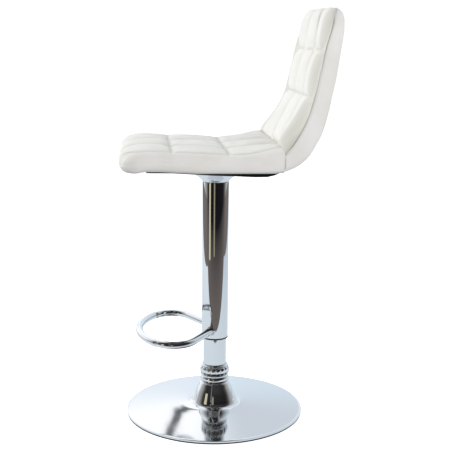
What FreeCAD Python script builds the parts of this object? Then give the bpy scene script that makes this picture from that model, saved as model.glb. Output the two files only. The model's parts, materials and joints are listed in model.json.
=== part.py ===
import FreeCAD, Part
import math
import os

from FreeCAD import Vector

# Adjustable swivel stool: trumpet base, gas-lift column, footrest loop and padded one-piece seat.
# Millimetres, +Z up, origin on the floor on the column's axis. The front of the seat faces -Y.

# Driving dimensions -----------------------------------------------------------------------------
base_r = 192.5               # rim of the round base
base_sheet = 1.5             # spun steel sheet of the base
floor_pad_high = 3.0         # rubber under the rim
neck_top = 67.0              # top of the base's neck
post_r, post_wall = 25.0, 1.6
tube_r, tube_wall = 28.5, 1.2
tube_low, tube_high = 170.0, 511.0
lift_stroke = 210.0          # how far the seat rises
cylinder_r, cylinder_wall = 14.0, 1.5
rod_r = 5.0
seat_half_width = 190.0
seat_front = -193.0
seat_low = 555.0             # underside of the upholstery
crease_y, crease_z = 128.0, 596.0
back_top = 871.0
back_top_half_width = 176.0
back_lean = math.radians(9)
bend_y, bend_r = 86.0, 117.0  # outside of the bend from seat to back
board_gap, board_thick = 4.0, 10.0
plate_low, plate_thick = 544.5, 2.5
lever_pivot_x, lever_z = -25.0, 536.5
footrest_z, footrest_bar_r = 188.0, 8.0
fit = 0.05                   # radial clearance of a running fit
gap = 0.1                    # clearance of a pressed or welded piece in the same body

full_turn = 360.0
z_axis = Vector(0, 0, 1)
post_bore_r = post_r - post_wall
tube_bore_r = tube_r - tube_wall


# Solids used many times ---------------------------------------------------------------------------
def rod_z(radius, low, high, x=0.0, y=0.0):
    return Part.makeCylinder(radius, high - low, Vector(x, y, low))


def ring(outer_r, inner_r, low, high):
    return rod_z(outer_r, low, high).cut(rod_z(inner_r, low - 1, high + 1))


def block(x0, x1, y0, y1, z0, z1):
    return Part.makeBox(x1 - x0, y1 - y0, z1 - z0, Vector(x0, y0, z0))


def line(a, b):
    return Part.LineSegment(a, b).toShape()


def spline(points):
    curve = Part.BSplineCurve()
    curve.interpolate(points)
    return curve


def turn(wire):
    return Part.Face(wire).revolve(Vector(0, 0, 0), z_axis, full_turn)


def turned(section):
    """Solid of revolution from a closed list of (radius, height)."""
    corners = [Vector(r, 0, z) for r, z in section]
    return turn(Part.makePolygon(corners + corners[:1]))


def rounded_wire(corners, radii):
    """Closed outline whose corners are arcs of the given radii; a radius of 0 stays sharp."""
    ends = []
    count = len(corners)
    for i, (corner, radius) in enumerate(zip(corners, radii)):
        to_last = (corners[i - 1] - corner).normalize()
        to_next = (corners[(i + 1) % count] - corner).normalize()
        if radius == 0:
            ends.append((corner, None, corner))
            continue
        half = to_last.getAngle(to_next) / 2
        reach = radius / math.tan(half)
        centre = corner + (to_last + to_next).normalize() * (radius / math.sin(half))
        middle = centre + (corner - centre).normalize() * radius
        ends.append((corner + to_last * reach, middle, corner + to_next * reach))
    edges = []
    for i, (start, middle, end) in enumerate(ends):
        if middle is not None:
            edges.append(Part.Arc(start, middle, end).toShape())
        edges.append(line(end, ends[(i + 1) % count][0]))
    return Part.Wire(edges)


def spun_sheet(points, thickness, head, foot, cut_at=None):
    """Sheet of even thickness along a curve of (radius, height), closed by short end outlines.

    head lists the section's corners from the inner curve's first point round to the outer one's,
    foot those from the outer curve's last point round to the inner one's. A negative thickness
    puts the inner curve on the other side. cut_at is a height that the inner curve ends at.
    """
    outer_points = [Vector(r, 0, z) for r, z in points]
    outer = spline(outer_points)
    inner_points = []
    for point in outer_points:
        along = outer.tangent(outer.parameter(point))[0]
        inner_points.append(point + Vector(along.z, 0, -along.x) * thickness)
    if cut_at is not None:
        inner_points[-1].z = cut_at
    inner = spline(inner_points)
    foot_corners = [outer_points[-1]] + [Vector(r, 0, z) for r, z in foot] + [inner_points[-1]]
    head_corners = [inner_points[0]] + [Vector(r, 0, z) for r, z in head] + [outer_points[0]]
    edges = [outer.toShape()]
    edges += [line(a, b) for a, b in zip(foot_corners, foot_corners[1:])]
    edges.append(inner.toShape())
    edges += [line(a, b) for a, b in zip(head_corners, head_corners[1:])]
    return turn(Part.Wire(Part.__sortEdges__(edges)))


def around(solid, count, start=0.0):
    """Copies of a solid spaced evenly about the column's axis."""
    copies = []
    for i in range(count):
        copy = solid.copy()
        copy.rotate(Vector(0, 0, 0), z_axis, start + i * full_turn / count)
        copies.append(copy)
    return copies


def hexagon(across_flats, low, high, x=0.0, y=0.0):
    reach = across_flats / math.sqrt(3)
    corners = []
    for i in range(6):
        angle = math.radians(60 * i + 30)
        corners.append(Vector(x + reach * math.cos(angle), y + reach * math.sin(angle), low))
    face = Part.Face(Part.makePolygon(corners + corners[:1]))
    return face.extrude(Vector(0, 0, high - low))


def fused(solids):
    return solids[0].multiFuse(solids[1:]).removeSplitter()


# Base ---------------------------------------------------------------------------------------------
rim_z = 6.5
lip_r = 25.3                       # hole in the neck's turned-in lip
ballast_r, ballast_low, ballast_high = 145.0, 3.0, 8.0
cup_floor_low, cup_floor_high = 28.0, 31.0
cup_flange_r, cup_flange_high = 60.0, 11.0
foot_high = cup_floor_high + 12
base_bolt_r = 6.0
ballast_screw_circle, ballast_screw_r = 43.0, 2.5


def make_base_dish():
    trumpet = [
        (29.5, neck_top), (34.2, 60.0), (40.0, 48.0), (45.4, 34.0),
        (52.0, 22.6), (66.0, 18.0), (110.0, 13.4), (base_r, rim_z),
    ]
    head = [(lip_r, neck_top - base_sheet), (lip_r, neck_top)]
    foot = [(base_r, floor_pad_high), (base_r - base_sheet, floor_pad_high)]
    return spun_sheet(trumpet, base_sheet, head, foot)


def make_floor_ring():
    inner_r = 180.0
    return turned([
        (inner_r, 0), (base_r - 1, 0), (base_r - 0.5, 0.5), (base_r - 0.5, floor_pad_high),
        (base_r - base_sheet - gap, floor_pad_high), (base_r - 3.0, 4.7), (inner_r, 4.7),
    ])


def ballast_holes(low, high, radius):
    hole = rod_z(radius, low, high, x=ballast_screw_circle)
    return around(hole, 4, start=45)


def make_ballast_plate():
    plate = ring(ballast_r, post_r + gap, ballast_low, ballast_high)
    for hole in ballast_holes(ballast_low - 1, ballast_high + 1, ballast_screw_r + gap):
        plate = plate.cut(hole)
    for hole in ballast_holes(ballast_low - 1, ballast_low + 3, 4.6):
        plate = plate.cut(hole)
    return plate


def make_ballast_screws():
    screws = []
    heads = ballast_holes(ballast_low + 0.2, ballast_low + 3, 4.5)
    shanks = ballast_holes(ballast_low + 3, cup_flange_high + 1, ballast_screw_r)
    for head, shank in zip(heads, shanks):
        screws.append(head.fuse(shank).removeSplitter())
    return Part.makeCompound(screws)


def make_hub_cup():
    wall_in, wall_out = post_r + gap, 27.9
    wall_high = neck_top - base_sheet - 0.2
    hole_r = base_bolt_r + 0.6
    cup = turned([
        (wall_in, ballast_high), (cup_flange_r, ballast_high), (cup_flange_r, cup_flange_high),
        (wall_out, cup_flange_high), (wall_out, wall_high), (wall_in, wall_high),
        (wall_in, cup_floor_high), (hole_r, cup_floor_high), (hole_r, cup_floor_low),
        (wall_in, cup_floor_low),
    ])
    for hole in ballast_holes(ballast_high - 1, cup_flange_high + 1, ballast_screw_r + gap):
        cup = cup.cut(hole)
    return cup


def make_base_bolt():
    washer_low = cup_floor_low - 2.5
    head = hexagon(19.0, washer_low - 8, washer_low)
    return head.fuse(rod_z(base_bolt_r, washer_low, foot_high - 1)).removeSplitter()


# Column's fixed half --------------------------------------------------------------------------------
post_high = 470.0
guide_low, guide_high = 390.0, 478.0
collar_low, bead_low, bead_high, collar_high = neck_top, 84.0, 102.0, 108.0
bead_count = 16
rod_seat_low, rod_seat_high = 56.0, 62.0
rod_neck_r = 4.0                   # the rod's turned-down end in the bearing
ball_r, ball_circle, ball_count = 1.5, 7.7, 10
race_gap = 0.1
lower_race_high = rod_seat_high + 2.4
upper_race_low = lower_race_high + 2 * (ball_r + race_gap)
upper_race_high = upper_race_low + 2.4
washer_high = upper_race_high + 2.0
collar_bore_r = post_r + gap


def make_collar_base_ring():
    body = turned([
        (collar_bore_r, collar_low), (30.2, collar_low), (31.0, collar_low + 1.5),
        (31.0, 78.5), (30.2, 79.8), (29.5, 80.0), (29.5, bead_low), (collar_bore_r, bead_low),
    ])
    return body.cut(collar_screw_shape(2.6))


def collar_screw_shape(radius):
    start = Vector(-collar_bore_r, 0, 73.5)
    return Part.makeCylinder(radius, 5.6, start, Vector(-1, 0, 0))


def make_collar_bead_ring():
    """Ring of rounded lobes, like a string of beads round the post."""
    core = turned([
        (collar_bore_r, bead_low), (28.6, bead_low), (29.6, bead_low + 3), (29.6, bead_high - 3),
        (28.6, bead_high), (collar_bore_r, bead_high),
    ])
    bead_r, bead_circle = 6.2, 26.0
    middle = (bead_low + bead_high) / 2
    half_straight = 2.6
    capsule = fused([
        rod_z(bead_r, middle - half_straight, middle + half_straight, x=bead_circle),
        Part.makeSphere(bead_r, Vector(bead_circle, 0, middle - half_straight)),
        Part.makeSphere(bead_r, Vector(bead_circle, 0, middle + half_straight)),
    ])
    lobes = fused([core] + around(capsule, bead_count))
    return lobes.cut(rod_z(collar_bore_r, bead_low - 1, bead_high + 1))


def make_collar_top_ring():
    return turned([
        (collar_bore_r, bead_high), (28.6, bead_high), (29.4, 103.2), (29.0, 105.0),
        (27.0, 106.4), (26.6, collar_high), (collar_bore_r, collar_high),
    ])


def make_post_guide():
    bore_r = cylinder_r + fit
    sleeve = ring(post_bore_r - gap, bore_r, guide_low, post_high)
    return sleeve.fuse(ring(post_r - 0.2, bore_r, post_high, guide_high)).removeSplitter()


def make_bearing_cage():
    middle = lower_race_high + race_gap + ball_r
    cage = ring(10.2, 5.4, middle - 0.6, middle + 0.6)
    for pocket in around(rod_z(ball_r + gap, middle - 1, middle + 1, x=ball_circle), ball_count):
        cage = cage.cut(pocket)
    return cage


def make_bearing_balls():
    middle = lower_race_high + race_gap + ball_r
    ball = Part.makeSphere(ball_r, Vector(ball_circle, 0, middle))
    return Part.makeCompound(around(ball, ball_count))


# Piston rod, which turns with the seat but doesn't rise ---------------------------------------------
rod_low, rod_high = 47.0, 341.0
clip_low, clip_high = 52.0, 53.5
piston_low, piston_high = 325.0, 337.0
seal_low, seal_high = 329.5, 332.5
cylinder_bore_r = cylinder_r - cylinder_wall
piston_r = cylinder_bore_r - fit
bump_high = 84.5


def make_piston_rod():
    rod = rod_z(rod_neck_r, rod_low, washer_high).fuse(rod_z(rod_r, washer_high, rod_high))
    rod = rod.removeSplitter()
    return rod.cut(ring(rod_neck_r + 1, rod_neck_r - 0.8, clip_low - gap, clip_high + gap))


def make_retaining_clip():
    clip = ring(8.0, rod_neck_r - 0.7, clip_low, clip_high)
    return clip.cut(block(0, 12, -2.6, 2.6, clip_low - 1, clip_high + 1))


def make_piston():
    body = ring(piston_r, rod_r + 0.02, piston_low, piston_high)
    return body.cut(ring(piston_r + 1, piston_r - 2.2, seal_low, seal_high))


def make_piston_nut():
    return hexagon(15.0, piston_high, piston_high + 5).cut(rod_z(rod_r + 0.02, 0, rod_high + 9))


# Gas cylinder and its valve -------------------------------------------------------------------------
cylinder_low, cylinder_high = 85.0, 528.0
taper_low, taper_top_r = 494.0, 13.15
valve_low, valve_bore_r = 488.0, 11.5
button_r = 3.0
button_low, button_high = 500.0, lever_z - 4.5


def make_gas_cylinder():
    lid = cylinder_low + 2.0
    return turned([
        (6.0, cylinder_low), (cylinder_r - 0.8, cylinder_low), (cylinder_r, cylinder_low + 0.8),
        (cylinder_r, taper_low), (taper_top_r, cylinder_high), (valve_bore_r, cylinder_high),
        (valve_bore_r, valve_low), (cylinder_bore_r, valve_low), (cylinder_bore_r, lid), (6.0, lid),
    ])


def make_valve_body():
    return ring(valve_bore_r - gap, button_r + fit, valve_low, cylinder_high)


def make_valve_button():
    dome_r = 6.0
    pin = rod_z(button_r, button_low, button_high)
    dome = Part.makeSphere(dome_r, Vector(0, 0, button_high - dome_r))
    lower = rod_z(button_r, button_low, button_high - 2)
    return pin.common(dome.fuse(lower)).removeSplitter()


# Column's moving half -------------------------------------------------------------------------------
socket_low, socket_r = 490.0, 18.0
spacer_low, spacer_high = 493.0, 499.0
bush_flange_low, bush_sleeve_high = tube_low - 3.0, 232.0
bell_neck_low, bell_sheet = 503.0, 1.2
lever_slot = 5.5                   # half width of the notches the lever moves in


def make_hub_socket():
    return turned([
        (cylinder_r + fit, socket_low), (socket_r, socket_low), (socket_r, cylinder_high),
        (taper_top_r + fit, cylinder_high), (cylinder_r + fit, taper_low),
    ])


def make_tube_bush():
    bore_r = post_r + fit
    flange = ring(tube_r + 0.2, bore_r, bush_flange_low, tube_low)
    sleeve = ring(tube_bore_r - gap, bore_r, tube_low, bush_sleeve_high)
    return flange.fuse(sleeve).removeSplitter()


def make_top_bell():
    neck_r = tube_bore_r - gap
    flare = [(28.6, 512.0), (36.0, 519.4), (43.5, 525.0), (53.0, 533.0), (62.0, plate_low)]
    head = [(neck_r - bell_sheet, 511.0), (neck_r - bell_sheet, bell_neck_low),
            (neck_r, bell_neck_low), (neck_r, 511.2)]
    bell = spun_sheet(flare, -bell_sheet, head, [], plate_low)
    return bell.cut(block(-72, -36, -lever_slot, lever_slot, 526.5, plate_low + 1))


def footrest_path():
    """Half-oval loop in front of the column, with straight arms back to the tube's sides."""
    front_r, front_centre_y = 165.0, 1.0
    side_r, side_x, side_y = 45.0, 72.0, -92.0
    arm_angle = math.radians(31.5)
    toward = math.atan2(side_y - front_centre_y, side_x)
    join = Vector(front_r * math.cos(toward), front_centre_y + front_r * math.sin(toward), 0)
    front = Vector(0, front_centre_y - front_r, 0)
    bow_middle_angle = (toward - math.pi / 2) / 2
    bow_middle = Vector(
        front_r * math.cos(bow_middle_angle), front_centre_y + front_r * math.sin(bow_middle_angle), 0)
    leave_angle = math.pi / 2 - arm_angle
    side_middle_angle = (toward + leave_angle) / 2
    side_middle = Vector(
        side_x + side_r * math.cos(side_middle_angle), side_y + side_r * math.sin(side_middle_angle), 0)
    leave = Vector(
        side_x + side_r * math.cos(leave_angle), side_y + side_r * math.sin(leave_angle), 0)
    arm_end_x = 22.0
    arm_end = Vector(arm_end_x, leave.y + (leave.x - arm_end_x) * math.tan(arm_angle), 0)
    half = [
        line(arm_end, leave),
        Part.Arc(leave, side_middle, join).toShape(),
        Part.Arc(join, bow_middle, front).toShape(),
    ]
    other = [edge.mirror(Vector(0, 0, 0), Vector(1, 0, 0)) for edge in half]
    wire = Part.Wire(Part.__sortEdges__(half + other))
    wire.translate(Vector(0, 0, footrest_z))
    return wire, arm_end + Vector(0, 0, footrest_z), arm_angle


def make_footrest_ring():
    wire, start, arm_angle = footrest_path()
    along = Vector(math.cos(arm_angle), -math.sin(arm_angle), 0)
    section = Part.Wire(Part.makeCircle(footrest_bar_r, start, along))
    bar = wire.makePipeShell([section], True, False)
    column = rod_z(tube_r, footrest_z - 20, footrest_z + 20)
    outside = bar.cut(column)
    return max(outside.Solids, key=lambda solid: solid.Volume)


# Seat plate and release lever -----------------------------------------------------------------------
plate_half = 80.0
plate_high = plate_low + plate_thick
pan_low, pan_r, pan_floor_r = 526.0, 40.0, 31.0
seat_bolt_at, seat_bolt_r = 62.0, 3.0
bracket_x0, bracket_x1 = lever_pivot_x - 4.0, lever_pivot_x + 5.0
lever_r, lever_pin_r = 4.0, 2.0
lever_points = [(7.0, lever_z), (-38.0, lever_z), (-100.0, 526.0), (-198.0, 513.0)]
grip_start_x, grip_end_x, grip_r = -146.0, -206.0, 7.0


def at_seat_bolts(shape):
    copies = []
    for x in (-seat_bolt_at, seat_bolt_at):
        for y in (-seat_bolt_at, seat_bolt_at):
            copy = shape.copy()
            copy.translate(Vector(x, y, 0))
            copies.append(copy)
    return copies


def make_seat_plate():
    corners = [(-plate_half, -plate_half), (plate_half, -plate_half),
               (plate_half, plate_half), (-plate_half, plate_half)]
    outline = rounded_wire([Vector(x, y, plate_low) for x, y in corners], [14.0] * 4)
    plate = Part.Face(outline).extrude(Vector(0, 0, plate_thick))
    plate = plate.cut(rod_z(pan_r, plate_low - 1, plate_high + 1))
    pan = turned([
        (socket_r + gap, pan_low), (pan_floor_r + 1.6, pan_low), (pan_r + 2.4, plate_low),
        (pan_r + 2.4, plate_high), (pan_r, plate_high), (pan_r - 0.4, plate_low),
        (pan_floor_r, pan_low + plate_thick), (socket_r + gap, pan_low + plate_thick),
    ])
    plate = plate.fuse(pan).removeSplitter()
    for hole in at_seat_bolts(rod_z(seat_bolt_r + 0.3, plate_low - 1, plate_high + 1)):
        plate = plate.cut(hole)
    return plate.cut(block(-60, -29, -lever_slot, lever_slot, pan_low + plate_thick, plate_low - 0.5))


def make_lever_bracket():
    floor = pan_low + plate_thick
    base = block(bracket_x0, bracket_x1, -7.4, 7.4, floor, floor + 1.6)
    ears = [block(bracket_x0, bracket_x1, y, y + 1.8, floor, lever_z + 4.5) for y in (-7.4, 5.6)]
    bracket = fused([base] + ears)
    return bracket.cut(lever_pin_shape(lever_pin_r + 0.02, 10.0))


def lever_pin_shape(radius, half_length):
    start = Vector(lever_pivot_x, -half_length, lever_z)
    return Part.makeCylinder(radius, 2 * half_length, start, Vector(0, 1, 0))


def lever_tube(radius, points):
    """Round bar along points in the XZ plane, with ball joints at its bends."""
    places = [Vector(x, 0, z) for x, z in points]
    solids = []
    for a, b in zip(places, places[1:]):
        solids.append(Part.makeCylinder(radius, (b - a).Length, a, b - a))
    for place in places[1:-1]:
        solids.append(Part.makeSphere(radius, place))
    return fused(solids)


def lever_height(x):
    (x0, z0), (x1, z1) = lever_points[-2:]
    return z0 + (z1 - z0) * (x - x0) / (x1 - x0)


def make_release_lever():
    return lever_tube(lever_r, lever_points).cut(lever_pin_shape(lever_pin_r + fit, 10.0))


def make_lever_grip():
    start = Vector(grip_start_x, 0, lever_height(grip_start_x))
    end = Vector(grip_end_x, 0, lever_height(grip_end_x))
    grip = Part.makeCylinder(grip_r, (end - start).Length, start, end - start)
    grip = grip.makeFillet(2.0, [edge for edge in grip.Edges if edge.Length < 60])
    return grip.cut(lever_tube(lever_r + 0.02, lever_points[-2:]))


# Upholstered one-piece seat and back ------------------------------------------------------------------
panel_low, panel_half_width = plate_high, 166.0
panel_edge = [(-148.0, 552.0), (-96.0, 551.6), (-56.0, 549.2), (-16.0, 547.0), (24.0, 545.6),
              (64.0, 543.6), (88.0, 543.8), (102.0, 547.0), (114.0, 552.0)]
panel_rear_top = [(114.0, 557.6), (100.0, 555.3)]  # under the start of the bend
panel_screw_places = [(x, y) for x in (-148.0, 148.0) for y in (-128.0, -20.0, 76.0)]
bend_centre = Vector(0, bend_y, seat_low + bend_r)
wide = 240.0                       # half length of the tool solids that cut across the seat


def yz(y, z):
    return Vector(0, y, z)


def lean_point(radius, height):
    """Point at a height on the straight back, where the bend's surface has the given radius."""
    tangent_y = bend_y + radius * math.cos(back_lean)
    tangent_z = bend_centre.z - radius * math.sin(back_lean)
    return yz(tangent_y + (height - tangent_z) * math.tan(back_lean), height)


def bend_arc(radius):
    """Arc from the flat seat to the start of the straight back."""
    def on_bend(angle):
        return bend_centre + yz(math.cos(angle), math.sin(angle)) * radius
    start_angle = -math.pi / 2
    end_angle = -back_lean
    middle = on_bend((start_angle + end_angle) / 2)
    return Part.Arc(on_bend(start_angle), middle, on_bend(end_angle)).toShape()


def across(edges, half_width=wide):
    face = Part.Face(Part.Wire(Part.__sortEdges__(edges)))
    face.translate(Vector(-half_width, 0, 0))
    return face.extrude(Vector(2 * half_width, 0, 0))


def side_section():
    """Side view of the padded shell as one closed outline."""
    nose = yz(seat_front + 14, seat_low)
    crease = yz(crease_y, crease_z)
    seat_top = [nose, yz(seat_front, 568), yz(-184, 589), yz(-158, 600), yz(15, 592), crease]
    back_front = [crease, yz(143.5, 651), yz(163, 698), yz(179, 764), yz(202, 846)]
    back_end = lean_point(bend_r, 844)
    return [
        spline(seat_top).toShape(),
        spline(back_front).toShape(),
        Part.Arc(back_front[-1], yz(219, back_top), back_end).toShape(),
        line(back_end, lean_point(bend_r, bend_centre.z - bend_r * math.sin(back_lean))),
        bend_arc(bend_r),
        line(yz(bend_y, seat_low), nose),
    ]


def front_view(inset):
    """Front view of the shell, for rounding the back's top corners."""
    half, top_half = seat_half_width - inset, back_top_half_width - inset
    top = back_top - inset + 2
    corners = [(-half, 500), (half, 500), (half, 650), (top_half, top),
               (-top_half, top), (-half, 650)]
    outline = rounded_wire([Vector(x, -300, z) for x, z in corners], [0, 0, 300, 62, 62, 300])
    return Part.Face(outline).extrude(Vector(0, 700, 0))


def plan_view(inset):
    """Plan of the shell, for rounding the seat's front corners."""
    half, front = seat_half_width - inset, seat_front + inset
    corners = [(-half, front), (half, front), (half, 320), (-half, 320)]
    outline = rounded_wire([Vector(x, y, 500) for x, y in corners], [38, 38, 0, 0])
    return Part.Face(outline).extrude(Vector(0, 0, 500))


def make_padded_shell():
    shell = across(side_section(), seat_half_width)
    return shell.common(front_view(0)).common(plan_view(0))


def make_shell_board():
    outer_r = bend_r - board_gap
    inner_r = outer_r - board_thick
    low, high = seat_low + board_gap, seat_low + board_gap + board_thick
    front, top = seat_front + 16, back_top - 18
    edges = [
        line(yz(bend_y, low), yz(front, low)),
        line(yz(front, low), yz(front, high)),
        line(yz(front, high), yz(bend_y, high)),
        bend_arc(inner_r),
        line(lean_point(inner_r, bend_centre.z - inner_r * math.sin(back_lean)),
             lean_point(inner_r, top)),
        line(lean_point(inner_r, top), lean_point(outer_r, top)),
        line(lean_point(outer_r, top),
             lean_point(outer_r, bend_centre.z - outer_r * math.sin(back_lean))),
        bend_arc(outer_r),
    ]
    board = across(edges).common(front_view(12)).common(plan_view(14))
    for hole in at_seat_bolts(rod_z(4.5 + gap, low - 1, high + 1)):
        board = board.cut(hole)
    return board


def t_nut_shape(bore_r):
    low, high = seat_low + board_gap + 1, seat_low + board_gap + board_thick
    nut = rod_z(4.5, low, high).fuse(rod_z(9.0, high, high + 1.5)).removeSplitter()
    return nut.cut(rod_z(bore_r, low - 1, high + 3))


def make_t_nuts():
    return Part.makeCompound(at_seat_bolts(t_nut_shape(seat_bolt_r + 0.02)))


def seat_bolt_shape():
    washer_low = plate_low - 1.5
    head = hexagon(10.0, washer_low - 4, washer_low)
    return head.fuse(rod_z(seat_bolt_r, washer_low, seat_low + board_gap + board_thick)).removeSplitter()


def make_seat_bolts():
    return Part.makeCompound(at_seat_bolts(seat_bolt_shape()))


def make_seat_washers():
    return Part.makeCompound(at_seat_bolts(ring(7.0, seat_bolt_r + 0.3, plate_low - 1.5, plate_low)))


def panel_edge_low(y):
    """Height of the panel's lower face at its sides, which dips towards the back."""
    for (y0, z0), (y1, z1) in zip(panel_edge, panel_edge[1:]):
        if y0 <= y <= y1:
            return z0 + (z1 - z0) * (y - y0) / (y1 - y0)


def make_underside_panel():
    lower = [yz(y, z) for y, z in panel_edge]
    top = [yz(y, z) for y, z in panel_rear_top] + [yz(bend_y, seat_low), yz(lower[0].y, seat_low)]
    corners = lower + top
    panel = across([line(a, b) for a, b in zip(corners, corners[1:] + corners[:1])], panel_half_width)
    pocket = plate_half + 4
    panel = panel.fuse(block(-pocket, pocket, -pocket, pocket, panel_low, seat_low)).removeSplitter()
    panel = panel.cut(block(-pocket, pocket, -pocket, pocket, panel_low - 10, panel_low))
    for hole in at_seat_bolts(rod_z(seat_bolt_r + 0.3, panel_low - 1, seat_low + 1)):
        panel = panel.cut(hole)
    for x, y in panel_screw_places:
        panel = panel.cut(rod_z(1.6, panel_edge_low(y) - 1, seat_low + 1, x, y))
    return panel


def make_panel_screws():
    screws = []
    for x, y in panel_screw_places:
        face = panel_edge_low(y) - 0.4
        head = rod_z(3.6, face - 1.6, face, x, y)
        screws.append(head.fuse(rod_z(1.5, face, seat_low, x, y)).removeSplitter())
    return Part.makeCompound(screws)


def seam_region():
    """Everything in front of the side seam between the back cushion and the back cover."""
    seam = [yz(crease_y, 589), yz(151, 620), yz(178, 680), yz(200, 776), yz(222, 850), yz(234, 900)]
    front = 100
    return across([
        spline(seam).toShape(),
        line(seam[-1], yz(front, seam[-1].z)),
        line(yz(front, seam[-1].z), yz(front, seam[0].z)),
        line(yz(front, seam[0].z), seam[0]),
    ])


def make_upholstery(board):
    """Seat cushion, back cushion and back cover, parted along their seams round the board."""
    shell = make_padded_shell().cut(board)
    for hole in at_seat_bolts(rod_z(9.0 + gap, seat_low + 10, seat_low + board_gap + board_thick + 2)):
        shell = shell.cut(hole)
    for hole in at_seat_bolts(rod_z(4.5 + gap, seat_low - 1, seat_low + board_gap + board_thick)):
        shell = shell.cut(hole)
    behind = block(-wide, wide, crease_y, 400, 400, 1000)
    seat = shell.cut(behind)
    back = shell.common(behind)
    seam = seam_region()
    return seat, back.common(seam), back.cut(seam)


# Every piece, by name -----------------------------------------------------------------------------------
def make_parts():
    board = make_shell_board()
    seat_cushion, back_cushion, back_cover = make_upholstery(board)
    return {
        "base_dish": make_base_dish(),
        "floor_ring": make_floor_ring(),
        "ballast_plate": make_ballast_plate(),
        "ballast_screws": make_ballast_screws(),
        "hub_cup": make_hub_cup(),
        "base_bolt": make_base_bolt(),
        "base_washer": ring(14.0, base_bolt_r + 0.3, cup_floor_low - 2.5, cup_floor_low),
        "post_foot": ring(post_bore_r - gap, base_bolt_r + 0.02, cup_floor_high, foot_high),
        "post": ring(post_r, post_bore_r, cup_floor_high, post_high),
        "collar_base_ring": make_collar_base_ring(),
        "collar_screw": collar_screw_shape(2.5),
        "collar_bead_ring": make_collar_bead_ring(),
        "collar_top_ring": make_collar_top_ring(),
        "rod_seat": ring(post_bore_r - gap, rod_neck_r + fit, rod_seat_low, rod_seat_high),
        "lower_race": ring(11.0, rod_neck_r + 0.3, rod_seat_high, lower_race_high),
        "post_guide": make_post_guide(),
        "bearing_cage": make_bearing_cage(),
        "bearing_balls": make_bearing_balls(),
        "upper_race": ring(11.0, rod_neck_r + 0.02, upper_race_low, upper_race_high),
        "rod_washer": ring(10.0, rod_neck_r + 0.02, upper_race_high, washer_high),
        "piston_rod": make_piston_rod(),
        "retaining_clip": make_retaining_clip(),
        "bump_stop": ring(11.0, rod_r + gap, washer_high, bump_high),
        "piston": make_piston(),
        "piston_seal": ring(piston_r, piston_r - 2.1, seal_low, seal_high),
        "piston_nut": make_piston_nut(),
        "gas_cylinder": make_gas_cylinder(),
        "rod_guide": ring(cylinder_bore_r - gap, rod_r + fit, cylinder_low + 4, cylinder_low + 20),
        "rod_seal": ring(cylinder_bore_r - gap, rod_r + fit, cylinder_low + 20, cylinder_low + 26),
        "valve_body": make_valve_body(),
        "hub_socket": make_hub_socket(),
        "tube_spacer": ring(tube_bore_r - gap, socket_r + gap, spacer_low, spacer_high),
        "outer_tube": ring(tube_r, tube_bore_r, tube_low, tube_high),
        "tube_bush": make_tube_bush(),
        "footrest_ring": make_footrest_ring(),
        "top_bell": make_top_bell(),
        "seat_plate": make_seat_plate(),
        "lever_bracket": make_lever_bracket(),
        "lever_pin": lever_pin_shape(lever_pin_r, 8.6),
        "underside_panel": make_underside_panel(),
        "panel_screws": make_panel_screws(),
        "shell_board": board,
        "t_nuts": make_t_nuts(),
        "seat_bolts": make_seat_bolts(),
        "seat_washers": make_seat_washers(),
        "seat_cushion": seat_cushion,
        "back_cushion": back_cushion,
        "back_cover": back_cover,
        "release_lever": make_release_lever(),
        "lever_grip": make_lever_grip(),
        "valve_button": make_valve_button(),
    }


os.makedirs("parts", exist_ok=True)
for name, shape in make_parts().items():
    shape.exportStep(os.path.join("parts", name + ".step"))
    print(name, len(shape.Solids), round(shape.Volume / 1000, 1), shape.isValid())
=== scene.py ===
import json
import math

import bmesh
import bpy
import numpy as np
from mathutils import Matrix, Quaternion, Vector
from mathutils.kdtree import KDTree

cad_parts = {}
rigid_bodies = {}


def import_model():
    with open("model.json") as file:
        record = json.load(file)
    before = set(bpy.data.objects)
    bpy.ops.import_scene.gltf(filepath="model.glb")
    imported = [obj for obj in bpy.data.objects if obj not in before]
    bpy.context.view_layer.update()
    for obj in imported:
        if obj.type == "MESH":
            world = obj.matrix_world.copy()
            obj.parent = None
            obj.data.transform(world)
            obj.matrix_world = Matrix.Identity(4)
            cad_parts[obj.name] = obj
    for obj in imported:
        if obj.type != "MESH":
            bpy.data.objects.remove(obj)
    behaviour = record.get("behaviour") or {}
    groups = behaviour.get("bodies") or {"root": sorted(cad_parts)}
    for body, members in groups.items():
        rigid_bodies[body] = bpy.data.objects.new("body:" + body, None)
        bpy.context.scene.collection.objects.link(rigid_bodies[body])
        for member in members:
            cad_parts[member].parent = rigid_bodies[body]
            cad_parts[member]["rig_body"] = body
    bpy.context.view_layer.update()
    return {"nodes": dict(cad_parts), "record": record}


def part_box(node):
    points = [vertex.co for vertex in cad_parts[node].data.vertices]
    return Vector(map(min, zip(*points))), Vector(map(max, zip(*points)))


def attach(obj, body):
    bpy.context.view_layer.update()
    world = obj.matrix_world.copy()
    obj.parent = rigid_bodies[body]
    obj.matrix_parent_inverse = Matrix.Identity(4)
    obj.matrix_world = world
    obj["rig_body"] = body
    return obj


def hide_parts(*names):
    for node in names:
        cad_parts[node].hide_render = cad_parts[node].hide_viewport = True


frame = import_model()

mm = 0.001
scene = bpy.context.scene
scene.view_settings.view_transform = "Standard"


def hexToLinear(hexColour):
    channels = []
    for i in (1, 3, 5):
        value = int(hexColour[i:i + 2], 16) / 255
        channels.append(value / 12.92 if value <= 0.04045 else ((value + 0.055) / 1.055) ** 2.4)
    return (*channels, 1.0)


def addNode(tree, kind, settings=None, links=None):
    # settings are the node's own properties or its sockets' values, links are socket: source
    node = tree.nodes.new(kind)
    for name, value in (settings or {}).items():
        if isinstance(name, str) and hasattr(node, name):
            setattr(node, name, value)
        else:
            node.inputs[name].default_value = value
    for name, source in (links or {}).items():
        tree.links.new(source, node.inputs[name])
    return node


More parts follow.
